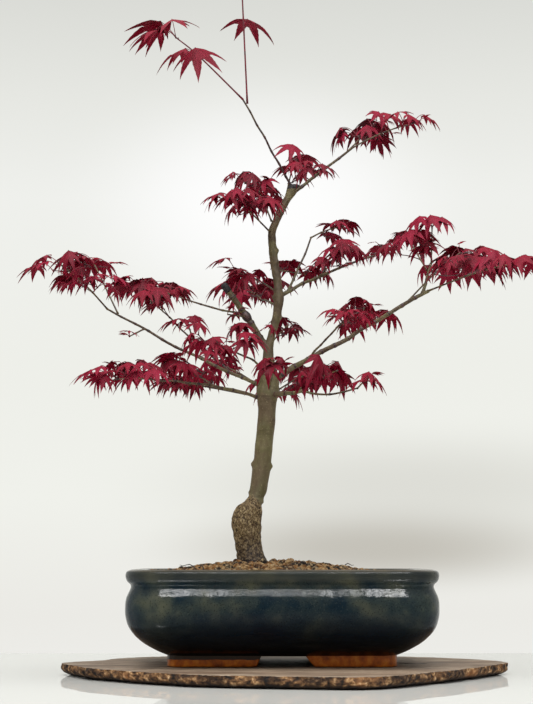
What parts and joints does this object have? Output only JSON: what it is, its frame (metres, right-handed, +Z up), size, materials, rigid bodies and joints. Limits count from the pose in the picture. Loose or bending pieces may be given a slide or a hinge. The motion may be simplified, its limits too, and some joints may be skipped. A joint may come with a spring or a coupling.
{
  "type": "bonsai tree in pot",
  "caption": "Red-leaved japanese maple bonsai with a leaning graft, open tiers of cut leaves and a tall top shoot, in a glazed rectangular pot on a live-edge wooden slab.",
  "frame": {"origin": "on the slab's flat underside, below the middle of the pot", "axes": "+Z up, +X to the right along the pot's long side, +Y to the back"},
  "size_m": [0.4146, 0.3021, 0.5964],
  "materials": {
    "bark": "olive-brown smooth bark, corky and tan at the graft",
    "shoot_bark": "dark red-brown young bark",
    "foliage": "thin crimson leaves, soft sheen",
    "glaze": "glossy dark blue-green glaze with olive mottling, bare orange clay under the feet",
    "granules": "dry fired-clay granules, matt",
    "old_wood": "weathered brown-grey face, rough bark edge"
  },
  "bodies": {
    "root": {"slab": "old_wood", "pot": "glaze", "soil": "granules", "trunk": "bark", "pruned_stub": "bark", "whip_shoot": "shoot_bark", "left_long_bough": "bark", "left_low_bough": "bark", "left_dark_bough": "bark", "left_high_bough": "bark", "left_front_bough": "bark", "right_long_bough": "bark", "right_fork_up": "bark", "right_thin_bough": "bark", "right_mid_bough": "bark", "right_zigzag": "bark", "upper_right_bough": "bark", "right_low_bough": "bark", "right_low_outer": "bark", "back_low_bough": "bark", "back_mid_bough": "bark", "left_tip": "foliage", "left_tip_back": "foliage", "left_high": "foliage", "left_node": "foliage", "left_dark": "foliage", "left_dark_side": "foliage", "left_inner": "foliage", "left_low_tip": "foliage", "left_low_back": "foliage", "left_low_mid": "foliage", "left_low_inner": "foliage", "centre_left": "foliage", "stub_low": "foliage", "stub_front": "foliage", "centre_right": "foliage", "centre_right_low": "foliage", "front_low": "foliage", "right_low_mid": "foliage", "right_low_back": "foliage", "right_low_tip": "foliage", "back_low": "foliage", "back_mid": "foliage", "right_inner": "foliage", "right_mid_back": "foliage", "right_up_left": "foliage", "right_up_top": "foliage", "right_out": "foliage", "right_out_back": "foliage", "right_mid_top": "foliage", "right_mid": "foliage", "right_mid_tip": "foliage", "upper_left": "foliage", "upper_left_high": "foliage", "upper_centre": "foliage", "upper_right": "foliage", "upper_right_tip": "foliage", "upper_right_low": "foliage", "whip_left": "foliage", "whip_top": "foliage"}
  },
  "joints": []
}
